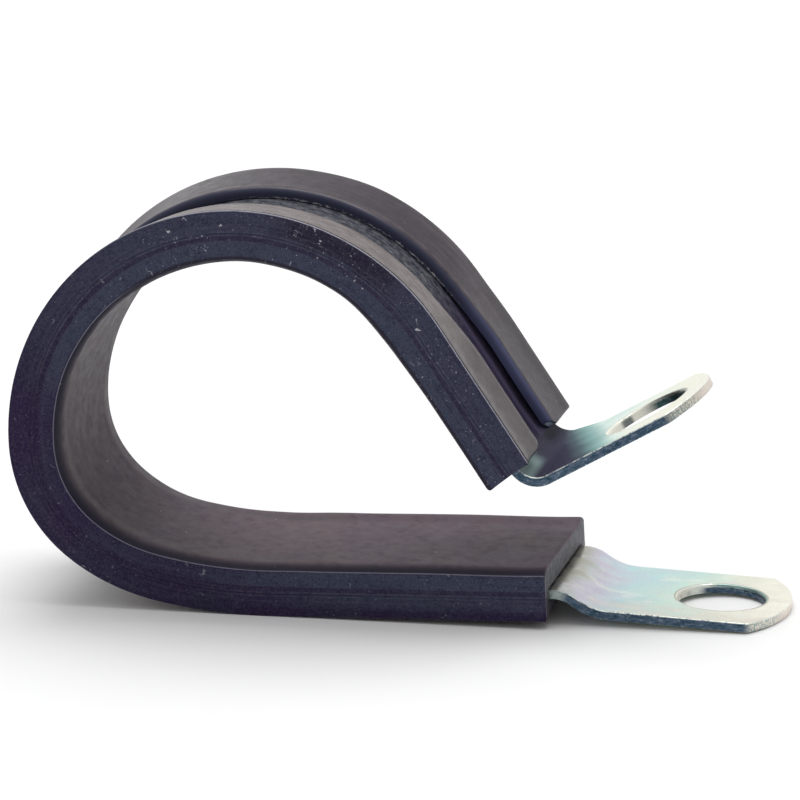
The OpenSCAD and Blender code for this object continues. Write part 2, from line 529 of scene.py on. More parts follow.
def rubber_bore():
    """The liner's inner skin: brownish and a little dusty, with painted shade on its bevels and
    beyond the lower leg.
    """
    r = Recipe("rubber_bore", 0.5, specular=0.2)
    r.set("Specular Tint", (1.0, 0.88, 0.96, 1))
    mottle = r.noise(1.1, 5.0, 0.65)
    cloud = r.noise(0.22, 2.0)
    streaks = r.noise(1.0, 3.0, 0.6, stretch=(0.3, 1.6, 1))
    r.colour = r.mix(r.step(cloud, 0.35, 0.65), BORE_BROWN, BORE_MAUVE)
    # Painted shade on the bore beyond the lower leg, where it turns away from the light.
    r.tint(BORE_DARK, r.step(r.s, 20, 40), 0.85)
    r.tint(BORE_DARK, r.step(mottle, 0.48, 0.3), 0.3)
    r.tint(BORE_LIGHT, r.step(streaks, 0.5, 0.75), 0.2)
    spread = r.math("ABSOLUTE", r.u)
    # Painted shade on the bevels.
    r.tint(BEVEL_SHADE, r.step(spread, 6.1, 7.2), 0.9)
    # A painted highlight along the far corner's rim on the lower leg.
    rim = r.times(r.step(r.u, 7.15, 7.32), r.step(r.s, 30, 20), r.step(streaks, 0.3, 0.5))
    r.tint(EDGE_WEAR_AND_HIGHLIGHT, rim, 0.8)
    ridge = r.times(r.band(spread, 5.2, 5.6, 0.5), r.band(r.s, 22, 44, 8))
    r.tint(BORE_LIGHT, ridge, 0.6)
    corner = r.times(r.step(spread, 7.34, 7.38), r.step(r.s, 63, 57))
    r.tint(EDGE_WEAR_AND_HIGHLIGHT, corner, 0.8)
    r.lint(FINE_LINT)
    r.tint(LINT, r.fibres(0.5, 0.1), 0.3)
    r.set("Roughness", r.step(mottle, 0.3, 0.7, 0.56, 0.44))
    grain = r.noise(8, 4.0, 0.6)
    r.bump(r.plus(grain, streaks), 0.015, 0.5)
    return r.finish()


def rubber_lip():
    """The lips' tops, smooth and shiny at a low angle, with darker free faces."""
    r = Recipe("rubber_lip", 0.3, specular=0.32)
    r.set("Specular Tint", (1.0, 0.9, 0.91, 1))
    mottle = r.noise(1.1, 5.0, 0.65)
    streaks = r.noise(1.0, 3.0, 0.6, stretch=(0.2, 3.0, 1))
    # The near lip is painted lighter and the far lip darker, as lit and shaded copies of one
    # rubber.
    far = r.step(r.u, -0.5, 0.5)
    brown = r.mix(far, LIP_TAUPE, LIP_MAUVE)
    dark = r.mix(far, LIP_BROWN, LIP_DARK)
    r.colour = r.mix(r.step(mottle, 0.35, 0.65), dark, brown)
    r.tint(LIP_LIGHT, r.step(streaks, 0.5, 0.75), 0.35)
    spread = r.math("ABSOLUTE", r.u)
    # A seam of painted shade, with grit, beside the near lip's raised outer corner, which has a
    # painted highlight.
    seam = r.band(r.u, -7.35, -7.12, 0.05)
    r.tint(SEAM_SHADE, seam, 0.97)
    grit = r.times(r.specks(4.0, 0.3, 0.3), r.band(r.u, -7.2, -7.0, 0.15))
    r.tint(LINT, grit, 0.6)
    # A painted highlight along the fin.
    fin = r.step(r.u, -7.36, -7.39)
    r.tint(CORNER_HIGHLIGHT, fin, 0.9)
    # A faint painted highlight where the free faces round over into the tops.
    pale = r.band(spread, 2.8, 3.3, 0.25)
    r.tint(LIP_PALE, pale, r.step(mottle, 0.3, 0.6), 0.25)
    r.tint(LIP_DARK, r.step(r.s, 84, 92), 0.7)
    # The free faces are blue-black, palest at the far lip's lifted end.
    free = r.step(spread, 2.92, 2.62)
    lifted = r.times(r.step(r.s, 84, 92), far)
    r.tint(r.mix(lifted, FREE_BLUE, FREE_LIGHT), free, 0.97)
    # Pale grit and painted glints where the free face meets the band, on the way down from the
    # crown.
    ragged = r.plus(r.v, r.times(r.noise(2.6, 4.0, 0.8, stretch=(1, 0, 0)), 0.5))
    descent = r.times(r.step(r.s, 66, 74), r.step(r.s, 88, 84))
    foot = r.times(free, r.step(ragged, -0.33, -0.26), descent)
    specked = r.step(r.noise(2.4, 5.0, 0.8, stretch=(1, 0, 3)), 0.47, 0.6)
    r.tint(GRIT_AND_GLINT, foot, specked, 0.8)
    r.lint(FINE_LINT)
    rough = r.step(mottle, 0.3, 0.7, 0.34, 0.25)
    rough = r.most(rough, r.times(free, 0.62))
    rough = r.most(rough, r.step(r.s, 66, 56, 0.25, 0.48))
    r.set("Roughness", r.most(rough, r.times(seam, 0.9)))
    grain = r.noise(8, 4.0, 0.6)
    r.bump(r.plus(grain, streaks), 0.01, 0.5)
    return r.finish()


def rubber_cut():
    """Knife-cut ends: a little paler than the skin, with a painted highlight on the upper end's
    torn lip corners."""
    r = Recipe("rubber_cut", 0.5, specular=0.4)
    mottle = r.noise(1.6, 5.0, 0.65)
    drag = r.noise(1.0, 4.0, 0.6, stretch=(1, 1.3, 0.45))
    r.colour = r.mix(r.step(mottle, 0.3, 0.7), CUT_DARK, CUT_PALE)
    r.tint(CUT_DARK, r.step(drag, 0.45, 0.7), 0.3)
    # A painted highlight on the upper end's torn lip corners.
    torn = r.times(r.step(r.s, 90, 91), r.step(r.math("ABSOLUTE", r.u), 3.7, 2.9))
    r.tint(CUT_CORNER_HIGHLIGHT, torn, r.step(r.v, -0.42, -0.6), 0.85)
    # A painted highlight along the cut ends' near edge.
    near_edge = r.times(r.step(r.u, -7.0, -7.3), r.step(drag, 0.3, 0.5, 0.4, 1.0))
    r.tint(CUT_EDGE_HIGHLIGHT, near_edge, 0.8)
    r.tint(LINT, r.specks(2.0, 0.12, 0.08), 0.6)
    r.set("Roughness", r.step(mottle, 0.3, 0.7, 0.6, 0.45))
    r.bump(drag, 0.012, 0.5)
    return r.finish()


def rubber_slot():
    r = Recipe("rubber_slot", 0.7, specular=0.3)
    mottle = r.noise(2.0, 3.0)
    r.colour = r.mix(mottle, CUT_DARK, CUT_PALE)
    return r.finish()


def zinc_face():
    """Passivated zinc: pale, its thin film tinted lilac, cyan, green and cream."""
    r = Recipe("zinc_face", 0.3, metallic=1.0, specular=0.06)
    cloud = r.noise(0.3, 3.0, 0.6, stretch=(0.5, 1, 0))
    drift = r.noise(0.34, 3.0, 0.6, stretch=(0.7, 1.3, 0))
    grain = r.noise(7, 4.0, 0.7)
    smear = r.noise(0.7, 4.0, 0.6, stretch=(0.9, 1, 0))
    # The film's tint runs out along each tab from the liner.
    below = r.math("SUBTRACT", LINER_START, r.s)
    above = r.plus(r.s, -LINER_END)
    from_liner = r.math("DIVIDE", r.most(below, above), TAB_REACH)
    uneven = r.times(r.plus(cloud, -0.5), 0.5)
    film_place = r.plus(from_liner, uneven)
    r.colour = r.ramp(film_place, FILM_TINTS)
    r.tint(r.ramp(film_place, UPPER_FILM_TINTS), r.step(above, 0, 1))
    r.tint(ZINC_PALE, r.step(drift, 0.52, 0.68), 0.45)
    lilac = r.times(r.step(drift, 0.46, 0.32), r.step(above, 1, 0), 0.35)
    r.tint(ZINC_LILAC, lilac)
    r.tint(ZINC_GREY, r.step(grain, 0.45, 0.3), 0.25)
    r.tint(ZINC_GREY, r.step(smear, 0.6, 0.72), 0.12)
    r.tint(ZINC_DULL, r.specks(1.4, 0.1, 0.1), 0.5)
    # Darker and browner beside the liner, and pinkish along the tab's near side.
    beside_liner = r.band(r.s, LINER_START - 0.3, LINER_START + 0.2, 1.6)
    r.tint(ZINC_DARK_BROWN, beside_liner, r.step(smear, 0.3, 0.55, 0.35, 0.9))
    beside = r.times(r.step(r.u, -2.0, -4.6), r.band(r.s, 2, 13, 2.5))
    r.tint(ZINC_ROSE, beside, r.step(drift, 0.35, 0.6), 0.55)
    # A rubbed brown ring round each hole.
    for hole_s in (LOWER_HOLE_S, UPPER_HOLE_S):
        away = r.from_hole(hole_s)
        ring = r.band(away, HOLE_R, HOLE_R + 0.22, 0.12)
        r.tint(RING_BROWN, ring, r.step(smear, 0.3, 0.6, 0.25, 0.75))
    # Painted shade and a painted dark reflection round the sharp upper bend, teal where it fades.
    slanted = r.plus(r.plus(above, r.times(r.u, 0.32)), 0.7)
    wander = r.times(r.plus(drift, -0.5), 1.2)
    bend_place = r.math("DIVIDE", r.plus(slanted, wander), BEND_REACH)
    bend_shade_colour = r.ramp(bend_place, BEND_SHADE_TINTS)
    # A painted highlight at the bend's root on the near side, by the liner.
    root = r.times(r.step(r.u, -0.5, -3.5), r.step(above, 2.1, 1.0))
    bend_shade_colour = r.mix(root, bend_shade_colour, BEND_ROOT_HIGHLIGHT)
    bend_shade_colour = r.mix(r.times(r.step(grain, 0.58, 0.72), 0.15), bend_shade_colour, ZINC_GREY)
    bend = r.step(bend_place, 1.1, 0.82)
    bend = r.times(bend, r.step(above, -1.1, -0.7))
    r.tint(bend_shade_colour, bend)
    # Steel inside the liner's channel: painted shade in the groove, mottled with grey dust and
    # lint specks.
    entered = r.step(r.s, LINER_START, LINER_START + 0.3)
    channel = r.times(entered, r.step(above, -0.1, -0.4))
    dusting = r.noise(1.9, 5.0, 0.75, stretch=(0.7, 1, 0))
    channel_shade_and_dust = r.mix(r.step(dusting, 0.4, 0.62), CHANNEL_SHADE, CHANNEL_GREY)
    channel_shade_and_dust = r.mix(r.times(r.specks(2.6, 0.22, 0.25), 0.6), channel_shade_and_dust, LINT)
    # Deeper painted shade along the upper leg's channel.
    channel_end = r.step(above, -16, -8)
    channel_shade_and_dust = r.mix(r.times(channel_end, 0.9), channel_shade_and_dust, CHANNEL_DEEP_SHADE)
    # Painted light under the far lip, where it lifts off the band.
    under_lip = r.times(r.step(r.u, 1.4, 3.4), r.step(above, -14, -10))
    channel_shade_and_dust = r.mix(under_lip, channel_shade_and_dust, CHANNEL_PAINTED_LIGHT)
    r.tint(channel_shade_and_dust, channel)
    dulled = r.most(bend, channel)
    r.set("Metallic", r.rest(r.times(dulled, 0.97)))
    rough = r.step(smear, 0.35, 0.7, 0.24, 0.4)
    r.set("Roughness", r.most(rough, r.times(dulled, 0.5)))
    r.bump(grain, 0.006, 0.35)
    return r.finish()


def zinc_sheared():
    """Struck edges: dark and torn, with a painted highlight along the rim where the face turns
    down.
    """
    r = Recipe("zinc_sheared", 0.34, metallic=1.0)
    torn = r.noise(1.5, 4.0, 0.75, stretch=(0.9, 0.9, 2.6))
    fine = r.noise(6, 3.0, 0.7)
    r.colour = r.ramp(torn, SHEAR_TINTS)
    # Painted glints on the struck edges.
    r.tint(SHEAR_GLINT, r.step(fine, 0.6, 0.7), 0.6)
    # The rounded tips are pale, with teal specks near their corners.
    from_lower = r.from_hole(LOWER_HOLE_S)
    from_upper = r.from_hole(UPPER_HOLE_S)
    from_tip = r.math("MINIMUM", r.s, r.math("SUBTRACT", route.length, r.s))
    past_holes = r.step(r.math("MINIMUM", from_lower, from_upper), 4.4, 4.8)
    tip = r.times(r.step(from_tip, 2.6, 1.7), past_holes)
    pale = r.mix(r.step(fine, 0.4, 0.6), TIP_CREAM, TIP_ROSE)
    patch = r.times(r.band(from_tip, 1.0, 2.6, 1.0), r.step(fine, 0.42, 0.56))
    pale = r.mix(r.times(patch, 0.75), pale, TIP_TEAL)
    r.tint(pale, tip)
    # The face seen from above is the inner one at the lower tab, then the outer.
    facing = r.step(r.s, route.length / 2 - 1, route.length / 2 + 1, 1.0, -1.0)
    level = r.times(r.v, facing)
    broken = r.step(r.noise(2.6, 3.0, 0.7, stretch=(1, 1, 0)), 0.38, 0.52, 0.15, 1.0)
    # A painted highlight along the top rim, broken up along the edge.
    rim = r.step(level, BAND_T / 2 - 0.085, BAND_T / 2 - 0.04)
    r.tint(RIM_HIGHLIGHT, rim, broken, 0.85)
    # Painted glints along the bottom rim.
    lower_rim = r.step(level, 0.08 - BAND_T / 2, 0.03 - BAND_T / 2)
    r.tint(SHEAR_GLINT, lower_rim, r.step(fine, 0.45, 0.6), 0.7)
    # Inside a hole the rolled rim is pale with painted highlights, and grey towards the liner.
    inside_lower = r.step(from_lower, 4.2, 3.9)
    inside_upper = r.step(from_upper, 4.2, 3.9)
    inside = r.most(inside_lower, inside_upper)
    rolled = r.step(r.plus(level, r.times(torn, 0.12)), 0.13, 0.27)
    soft = r.mix(r.step(torn, 0.35, 0.6), HOLE_GREY, RIM_HIGHLIGHT)
    past_centre = r.times(inside_lower, r.step(r.s, LOWER_HOLE_S + 1.5, LOWER_HOLE_S + 0.7))
    soft = r.mix(r.times(past_centre, 0.85), soft, TIP_TEAL)
    r.tint(soft, inside, rolled)
    # Towards the liner the lower hole's wall has a painted highlight, then pale film further on.
    lower_root = r.times(r.step(r.s, LOWER_HOLE_S + 1.5, LOWER_HOLE_S + 2.3), inside_lower)
    lower_pale = r.mix(r.step(r.s, LOWER_HOLE_S + 2.4, LOWER_HOLE_S + 3.0), RIM_HIGHLIGHT, HOLE_PALE)
    r.tint(lower_pale, lower_root, r.step(torn, 0.3, 0.5, 0.6, 0.95))
    r.tint(HOLE_GREEN, inside_upper, 0.6)
    upper_root = r.times(r.step(r.s, UPPER_HOLE_S + 0.2, UPPER_HOLE_S - 1.4), inside_upper)
    patch = r.band(r.s, UPPER_HOLE_S - 2.5, UPPER_HOLE_S - 2.1, 0.3)
    upper_root = r.times(upper_root, r.rest(r.times(patch, 0.8)))
    r.tint(HOLE_PALE, upper_root, 0.95)
    rubbed = r.band(r.s, LINER_START - 0.6, LINER_START, 1.0)
    r.tint(RUBBED_GREY, rubbed, r.step(fine, 0.3, 0.55, 0.5, 0.95))
    # The pale film inside the holes is too matt to mirror the room.
    matt = r.times(r.most(lower_root, upper_root), 0.9)
    r.set("Metallic", r.rest(matt))
    r.set("Roughness", r.step(torn, 0.3, 0.7, 0.45, 0.28))
    r.bump(torn, 0.04, 0.8)
    return r.finish()


def floor_white():
    r = Recipe("floor_white", 0.8)
    r.colour = (0.9, 0.9, 0.9, 1)
    return r.finish()


# ---- The liner -------------------------------------------------------------
# Its section is drawn as (across, inward) corners of one half, each with the
# radius that rounds it and the zone of the face that follows it.

# Its section.
SLOT_GAP = 0.05
SLOT_W = BAND_W + 2 * SLOT_GAP
SLOT_H = BAND_T + 2 * SLOT_GAP
INNER_T = 1.8
LIP_T = 1.3
LIP_W = 5.0
LIP_EDGE_T = 0.78
BEVEL_W = 0.8
BEVEL_H = 0.4
SIDE_LEAN = 0.1
FACET_SPARE = 0.016
CREASE_W = 0.16
CREASE_DEPTH = 0.05
# How it has settled on the band.
LOWER_LIFT = 0.17
UPPER_LIFT = 0.53
SHOULDER_RISE = 0.12
END_RISE = 0.2
KINK_BULGE = 0.28
KINK_REACH = 6
# Its cut ends, and its slow waves.
CUT_ROUND = 0.15
UPPER_CUT_LEAN = 0.14
UPPER_CUT_SKEW = 0.17
LOWER_CUT_SHIFT = 0.08
NIBBLED = 0.6
SIDE_WAVE = 0.02
INNER_WAVE = 0.03
EDGE_WAVE = 0.06
RING_SPACING = 0.3

HALF_W = LINER_W / 2
INSIDE = SLOT_H / 2 + INNER_T
SLOT_TOP = -SLOT_H / 2
FREE_U = HALF_W - LIP_W
LINER_LENGTH = LINER_END - LINER_START
CROWN_END = total_length(LOOP[:5])

SIDE, BORE, LIP, CUT, SLOT = range(5)
SPACING = {SIDE: 0.25, BORE: 0.35, LIP: 0.35, SLOT: 1.5}
ARC_POINTS = 5


def liner_corners(finned):
    """Half of the section, with or without a raised fin along the outer corner."""
    outside = SLOT_TOP - LIP_T + FACET_SPARE
    corner = [(HALF_W - SIDE_LEAN / 2, outside, 0.08, LIP)]
    if finned:
        corner = [
            (HALF_W - SIDE_LEAN / 2, outside, 0.03, LIP),
            (HALF_W - 0.13, outside, 0.02, LIP),
            (HALF_W - 0.17, outside + 0.16, 0.02, LIP),
            (HALF_W - 0.4, outside + 0.03, 0.1, LIP),
        ]
    return [
        (HALF_W - BEVEL_W, INSIDE, 2.4, BORE),
        (HALF_W - SIDE_LEAN, INSIDE - BEVEL_H, 0.09, SIDE),
        (HALF_W, CREASE_W / 2, 0.05, SIDE),
        (HALF_W - CREASE_DEPTH, 0, 0.02, SIDE),
        (HALF_W, -CREASE_W / 2, 0.05, SIDE),
        *corner,
        (FREE_U, SLOT_TOP - LIP_EDGE_T, 0.46, LIP),
        (FREE_U, SLOT_TOP, 0.03, SLOT),
        (SLOT_W / 2, SLOT_TOP, 0.03, SLOT),
        (SLOT_W / 2, SLOT_H / 2, 0.03, SLOT),
    ]


def liner_outline():
    """Points and zones of the whole section. Only its near side has the fin."""
    finned = liner_corners(finned=True)
    near_side = []
    for i in range(len(finned) - 1, -1, -1):
        u, v, radius, _ = finned[i]
        near_side.append((-u, v, radius, finned[i - 1][3] if i else BORE))
    return rounded_outline(liner_corners(finned=False) + near_side)


def rounded_outline(corners):
    """Points and zones of a closed outline whose corners are rounded."""
    points, zones = [], []
    count = len(corners)
    spots = [Vector(corner[:2]) for corner in corners]
    for i, (_, _, radius, zone) in enumerate(corners):
        before = (spots[i - 1] - spots[i]).normalized()
        after = (spots[(i + 1) % count] - spots[i]).normalized()
        half = before.angle(after) / 2
        reach = radius / math.tan(half)
        middle = spots[i] + (before + after).normalized() * (radius / math.sin(half))
        first = spots[i] + before * reach - middle
        turn = first.angle_signed(spots[i] + after * reach - middle)
        for k in range(ARC_POINTS):
            share = k / (ARC_POINTS - 1)
            spin = Matrix.Rotation(-turn * share, 2)
            points.append(middle + spin @ first)
            zones.append(zone if share >= 0.5 else corners[i - 1][3])
        start = points[-1]
        following = (i + 1) % count
        ahead = (spots[i] - spots[following]).normalized()
        beyond = (spots[(i + 2) % count] - spots[following]).normalized()
        end = spots[following] + ahead * (
            corners[following][2] / math.tan(ahead.angle(beyond) / 2)
        )
        parts = max(1, math.ceil((end - start).length / SPACING[zone]))
        for k in range(1, parts):
            points.append(start.lerp(end, k / parts))
            zones.append(zone)
    return np.array([tuple(p) for p in points]), np.array(zones)


def left_of(steps):
    """The unit normal on the left of each step."""
    normals = np.stack([-steps[:, 1], steps[:, 0]], -1)
    return normals / np.linalg.norm(normals, axis=1)[:, None]


def outward_normals(outline):
    """The unit normal that points out of a closed outline, at each of its points."""
    following = np.roll(outline, -1, 0)
    across, inward = outline.T
    area = np.sum(across * following[:, 1]) - np.sum(inward * following[:, 0])
    return -np.sign(area) * left_of(following - np.roll(outline, 1, 0))


def cap_faces(ring, outline, reverse):
    """Triangles that close one end, over the ring's point numbers."""
    shape = bmesh.new()
    vertices = [shape.verts.new((u, v, 0)) for u, v in outline]
    face = shape.faces.new(vertices)
    bmesh.ops.triangulate(shape, faces=[face])
    shape.verts.index_update()
    triangles = []
    for triangle in shape.faces:
        corners = [ring[vertex.index] for vertex in triangle.verts]
        triangles.append(corners[::-1] if reverse else corners)
    shape.free()
    return triangles


def on_lips(v):
    """True at the heights of the lips, outside the slot."""
    return v < SLOT_TOP + 0.01


def lip_lift(s, u, v):
    """How far the lips stand off the band: they spring up along the upper leg."""
    near = smooth_step(s, CROWN_END - 2.3, CROWN_END + 4.2)
    far = smooth_step(s, CROWN_END - 3.2, CROWN_END + 4.4)
    lift = LOWER_LIFT * (1 - smooth_step(s, 15, 30))
    lift = lift + UPPER_LIFT * np.where(u < 0, near, far)
    root = SLOT_W / 2
    reach = np.clip((root - np.abs(u)) / (root - FREE_U), 0, 1) ** 1.2
    shoulder = SHOULDER_RISE * smooth_step(s, CROWN_END - 14, CROWN_END - 9)
    end_rise = END_RISE * smooth_step(s, CROWN_END - 1, CROWN_END + 4)
    far_corner = (shoulder + end_rise) * (u > 0)
    rise = lift * reach + far_corner * smooth_step(-v, 0.4, 1.6) * (1 - reach)
    return np.where(on_lips(v), rise, 0)


def bore_edge_rise(s, u):
    """How much the bore's two corners rise or sink from their drawn height."""
    near = 0.22 * smooth_step(s, 48, 62)
    far = 0.3 - 0.42 * smooth_step(s, 18, 34) + 0.12 * smooth_step(s, 44, 54)
    share = smooth_step(np.abs(u), 5.0, 6.8)
    return share * np.where(u < 0, near, far)


def cut_slant(s, u, v):
    """The small tilt of the two knife cuts, as a shift along the band. The upper end's
    lip corners are nibbled away too."""
    upper = UPPER_CUT_LEAN * (v + 1.7) / 3.7 - UPPER_CUT_SKEW * (1 + u / HALF_W)
    near_top = smooth_step(s, LINER_LENGTH - 4, LINER_LENGTH)
    near_bottom = 1 - smooth_step(s, 0, 3)
    corner = np.clip((FREE_U + 1.3 - np.abs(u)) / 1.3, 0, 1) ** 2
    nibbled = NIBBLED * corner * on_lips(v) * smooth_step(s, LINER_LENGTH - 2, LINER_LENGTH)
    return upper * near_top - LOWER_CUT_SHIFT * near_bottom - nibbled


def ring_places():
    """How far along the liner each ring lies, and how far a rounded end draws it in."""
    turns = np.radians(np.linspace(0, 90, 5))
    ends = CUT_ROUND * (1 - np.cos(turns))
    insets = CUT_ROUND * (1 - np.sin(turns))
    count = round(LINER_LENGTH / RING_SPACING)
    middle = np.linspace(ends[-1], LINER_LENGTH - ends[-1], count)
    distances = np.concatenate([ends[:-1], middle, LINER_LENGTH - ends[-2::-1]])
    inset = np.concatenate([insets[:-1], np.zeros(len(middle)), insets[-2::-1]])
    return distances, inset


def settled(s, u, v, u0, v0):
    """The section's points (u, v) at distances s, as the liner has settled on the
    band. u0 and v0 are the same points as drawn."""
    inner_depth = smooth_step(v0, 0.6, INSIDE)
    v = v - lip_lift(s, u0, v0) + bore_edge_rise(s, u0) * inner_depth

    # The inner layer bulges inward where the crown turns into the upper leg.
    v = v + KINK_BULGE * hump(s, CROWN_END - 1.5, KINK_REACH) * inner_depth

    # Slow waviness of an extrusion that was pushed over the band.
    side_wave, inner_wave, edge_wave = waves(4, 30), waves(5, 25), waves(3, 14)
    hand = np.sign(u0)
    outer_wall = np.abs(u0) > SLOT_W / 2 + 0.5
    u = u - hand * SIDE_WAVE * (1 + side_wave(s + 9 * hand)) * outer_wall
    v = v + INNER_WAVE * inner_wave(s) * inner_depth
    free_edge = smooth_step(-np.abs(u0), -(FREE_U + 1.2), -FREE_U) * on_lips(v0)
    return u + hand * EDGE_WAVE * edge_wave(s + 5 * hand) * free_edge, v


def make_liner(materials):
    outline, zones = liner_outline()
    normals = outward_normals(outline)
    distances, inset = ring_places()
    s = distances[:, None]
    u0, v0 = outline[:, 0][None, :], outline[:, 1][None, :]
    u = u0 - normals[:, 0] * inset[:, None]
    v = v0 - normals[:, 1] * inset[:, None]
    u, v = settled(s, u, v, u0, v0)
    points = route.place(LINER_START + s + cut_slant(s, u0, v0), u, v)

    rings, around = len(distances), len(outline)
    number = np.arange(rings * around).reshape(rings, around)
    next_round = np.roll(number, -1, axis=1)
    quads = np.stack([number[:-1], number[1:], next_round[1:], next_round[:-1]], -1)
    faces = quads.reshape(-1, 4).tolist()
    face_zones = np.tile(zones, rings - 1).tolist()
    for ring, reverse in ((0, False), (rings - 1, True)):
        cap = cap_faces(number[ring].tolist(), outline, reverse)
        faces += cap
        face_zones += [CUT] * len(cap)
    strip = np.stack(np.broadcast_arrays(s, u0, v0), -1).reshape(-1, 3)
    return make_object(
        "rubber_liner", points.reshape(-1, 3), faces, face_zones, materials, strip
    )


# ---- The band --------------------------------------------------------------
# The flat blank is meshed in (along, across) coordinates and then bent: a plain
# grid between two patches, one round each hole.

EDGE_ROUND = 0.06
HOLE_RIM = (0.16, 0.3)
GRID_ACROSS = 30
PATCH_REACH = 6.2
PATCH_ROWS = 12
TIP_R = 9.2
BEND_EASE = 0.5
BEND_EASE_REACH = 4.5
TORN_DEPTH = 0.006
ROLLED_DEPTH = 0.001

FACE, SHEARED = range(2)


class Blank:
    """The flat blank's points, with the faces of its top."""

    def __init__(self):
        self.points = []
        self.faces = []

    def add(self, spots):
        first = len(self.points)
        self.points += [tuple(spot) for spot in spots]
        return list(range(first, len(self.points)))

    def join(self, row, other, closed=False):
        """Quads between two rows of point numbers of the same length."""
        last = len(row) if closed else len(row) - 1
        for i in range(last):
            j = (i + 1) % len(row)
            self.faces.append([row[i], row[j], other[j], other[i]])

    def add_patch(self, hole_s, ring):
        """Rows of quads from a hole's rim out to a closed ring of points. Returns
        the innermost row, and the direction of each of its points from the hole."""
        spots = np.array([self.points[i] for i in ring]) - (hole_s, 0)
        angles = np.arctan2(spots[:, 1], spots[:, 0])
        rays = np.column_stack([np.cos(angles), np.sin(angles)])
        far = np.linalg.norm(spots, axis=1)
        near = HOLE_R + HOLE_RIM[0]
        rows = []
        for share in np.linspace(0, 1, PATCH_ROWS + 1)[:-1] ** 1.15:
            reach = near + (far - near) * share
            rows.append(self.add(rays * reach[:, None] + (hole_s, 0)))
        rows.append(ring)
        for row, wider in zip(rows, rows[1:]):
            self.join(wider, row, closed=True)
        return rows[0], rays


class Sheet:
    """The blank given its thickness: two faces, and walls down its struck edges."""

    def __init__(self, blank):
        self.flat_count = len(blank.points)
        levels = np.repeat([BAND_T / 2, -BAND_T / 2], self.flat_count)
        self.rows = [np.column_stack([np.tile(blank.points, (2, 1)), levels])]
        self.count = len(levels)
        self.faces = blank.faces + [self.below(face[::-1]) for face in blank.faces]
        self.zones = [FACE] * len(self.faces)

    def below(self, ids):
        """The bottom's points under these points of the top."""
        return [i + self.flat_count for i in ids]

    def wall(self, ids, base, outward, flip, profile):
        """Rows of points down an edge, joined to the top's and the bottom's rims."""
        previous = ids
        for offset, level in profile:
            depth = TORN_DEPTH if offset == 0 else ROLLED_DEPTH
            rough = random_draws.normal(0, depth, len(ids))
            spots = base + outward * (offset - np.abs(rough))[:, None]
            self.rows.append(np.column_stack([spots, np.full(len(ids), level)]))
            row = list(range(self.count, self.count + len(ids)))
            self.count += len(ids)
            self.join(previous, row, flip)
            previous = row
        self.join(previous, self.below(ids), flip)

    def join(self, upper, lower, flip):
        for i in range(len(upper)):
            j = (i + 1) % len(upper)
            face = [upper[i], lower[i], lower[j], upper[j]]
            self.faces.append(face[::-1] if flip else face)
            self.zones.append(SHEARED)


def tab_edge():
    """A tab's edge from one end of its patch's root, round the tip, to the other.

    The tab's hole is at (0, 0), its tip towards +along and its root at
    -PATCH_REACH."""
    half_w = BAND_W / 2
    centre = HOLE_TO_TIP - TIP_R
    corner = centre + math.sqrt(TIP_R**2 - half_w**2)
    sides = np.linspace(-PATCH_REACH, corner, 40)
    limit = math.asin(half_w / TIP_R)
    turns = np.linspace(-limit, limit, 49)
    low_side = [(s, -half_w) for s in sides[:-1]]
    tip = [(centre + TIP_R * math.cos(a), TIP_R * math.sin(a)) for a in turns]
    high_side = [(s, half_w) for s in sides[-2::-1]]
    return np.array(low_side + tip + high_side)


def inset_loop(loop, inset):
    """A closed loop moved into its own inside by the inset, with mitred corners, and
    the inward mitres that it was moved along."""
    middle = left_of(loop - np.roll(loop, 1, 0)) + left_of(np.roll(loop, -1, 0) - loop)
    mitre = middle * (2 / np.sum(middle * middle, 1))[:, None]
    return loop + mitre * inset, mitre


def rolled_rim(roll, depth):
    """A rolled-over rim from the face down, as (how far it stands out, height)."""
    turns = np.radians(np.linspace(0, 90, 8))[1:]
    top = BAND_T / 2
    return [(roll * (math.sin(a) - 1), top - depth * (1 - math.cos(a))) for a in turns]


def wall_profile(upper, lower):
    """A struck edge's profile from its upper rim to its lower one, straight
    between the two. Each rim is (roll, depth)."""
    above = rolled_rim(*upper)
    below = [(out, -level) for out, level in rolled_rim(*lower)[::-1]]
    levels = np.linspace(above[-1][1], below[0][1], 7)[1:-1]
    middle = [(0.0, level) for level in levels]
    return above + middle + below


def grid_columns():
    """Where the grid between the two patches has its rows, closest at the bends."""
    step_end = LINER_START + 1.5
    bend_start = LINER_END - 1
    stretches = (
        (LOWER_HOLE_S + PATCH_REACH, step_end, 0.15),
        (step_end, bend_start, 0.3),
        (bend_start, UPPER_HOLE_S - PATCH_REACH, 0.12),
    )
    columns = [LOWER_HOLE_S + PATCH_REACH]
    for low, high, spacing in stretches:
        parts = max(1, round((high - low) / spacing))
        columns += list(np.linspace(low, high, parts + 1)[1:])
    return np.array(columns)


def outer_loop(edge, columns):
    """The blank's outer loop, anticlockwise: both tabs' edges and the long sides
    between their roots."""
    half_w = BAND_W / 2
    sides = np.full(len(columns) - 2, half_w)
    lower_edge = np.column_stack([LOWER_HOLE_S - edge[:, 0], -edge[:, 1]])
    low_side = np.column_stack([columns[1:-1], -sides])
    upper_edge = np.column_stack([UPPER_HOLE_S + edge[:, 0], edge[:, 1]])
    high_side = np.column_stack([columns[-2:0:-1], sides])
    return np.concatenate([lower_edge, low_side, upper_edge, high_side])


